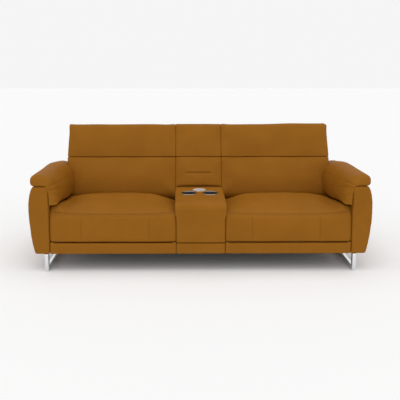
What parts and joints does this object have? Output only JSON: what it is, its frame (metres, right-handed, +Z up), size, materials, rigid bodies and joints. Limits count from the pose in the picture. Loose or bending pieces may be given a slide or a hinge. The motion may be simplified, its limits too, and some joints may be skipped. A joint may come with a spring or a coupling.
{
  "type": "sofa with drop down console",
  "caption": "Upholstered sofa with tilting headrests, a fold-up centre console with cup wells and a charging disc, and chromed sled legs.",
  "frame": {"origin": "on the floor, in the middle of the sofa's width and depth", "axes": "+X along the sofa's width, to the viewer's right from the front; +Y from the front to the back; +Z up"},
  "size_m": [2.2988, 0.94, 0.9085],
  "materials": {
    "leather": "satin tan leather, smooth fine grain",
    "leg_chrome": "polished chrome plate",
    "ring_chrome": "polished chromed trim",
    "charger_metal": "satin brushed aluminium disc",
    "dark_plastic": "matte moulded black plastic",
    "timber": "matte planed pine and plywood",
    "spring_steel": "satin drawn spring wire",
    "hinge_steel": "satin zinc-plated steel",
    "lining": "matte non-woven dust lining"
  },
  "bodies": {
    "base": {"sled_leg_left": "leg_chrome", "sled_leg_right": "leg_chrome", "floor_strip_left": "dark_plastic", "floor_strip_right": "dark_plastic", "front_rail": "timber", "rear_rail": "timber", "cross_rail_1": "timber", "cross_rail_2": "timber", "cross_rail_3": "timber", "cross_rail_4": "timber", "seat_rear_rail_left": "timber", "seat_rear_rail_right": "timber", "spring_deck_left": "spring_steel", "spring_deck_right": "spring_steel", "deck_board_middle": "timber", "dust_cover": "lining", "front_band_left": "leather", "front_band_middle": "leather", "front_band_right": "leather", "seat_cushion_left": "leather", "seat_cushion_right": "leather", "seat_cushion_middle": "leather", "lumbar_cushion_left": "leather", "lumbar_cushion_middle": "leather", "lumbar_cushion_right": "leather", "back_frame_left": "timber", "back_frame_middle": "timber", "back_frame_right": "timber", "back_shell_left": "leather", "back_shell_middle": "leather", "back_shell_right": "leather", "headrest_hinge_fixed_left": "hinge_steel", "headrest_hinge_fixed_middle": "hinge_steel", "headrest_hinge_fixed_right": "hinge_steel", "arm_body_left": "leather", "arm_body_right": "leather", "arm_frame_left": "timber", "arm_frame_right": "timber", "arm_pad_left": "leather", "arm_pad_right": "leather", "console_hinge_bracket": "hinge_steel"},
    "headrest_left": {"headrest_cushion_left": "leather", "headrest_board_left": "timber", "headrest_hinge_moving_left": "hinge_steel"},
    "headrest_middle": {"headrest_cushion_middle": "leather", "headrest_board_middle": "timber", "headrest_hinge_moving_middle": "hinge_steel"},
    "headrest_right": {"headrest_cushion_right": "leather", "headrest_board_right": "timber", "headrest_hinge_moving_right": "hinge_steel"},
    "console": {"console_cushion": "leather", "console_base": "leather", "console_hinge_ears": "hinge_steel", "cup_liner_left": "dark_plastic", "cup_liner_right": "dark_plastic", "cup_ring_left": "ring_chrome", "cup_ring_right": "ring_chrome", "charging_pad": "charger_metal"}
  },
  "joints": [
    {"name": "console_fold", "type": "hinge", "parent": "base", "child": "console", "pos_m": [0, 0.035, 0.43], "axis": [-1, 0, 0], "range_deg": [0, 106]},
    {"name": "headrest_left_tilt", "type": "hinge", "parent": "base", "child": "headrest_left", "pos_m": [-0.5935, 0.368, 0.687], "axis": [-1, 0, 0], "range_deg": [0, 60]},
    {"name": "headrest_middle_tilt", "type": "hinge", "parent": "base", "child": "headrest_middle", "pos_m": [0, 0.368, 0.687], "axis": [-1, 0, 0], "range_deg": [0, 60]},
    {"name": "headrest_right_tilt", "type": "hinge", "parent": "base", "child": "headrest_right", "pos_m": [0.5935, 0.368, 0.687], "axis": [-1, 0, 0], "range_deg": [0, 60]}
  ]
}
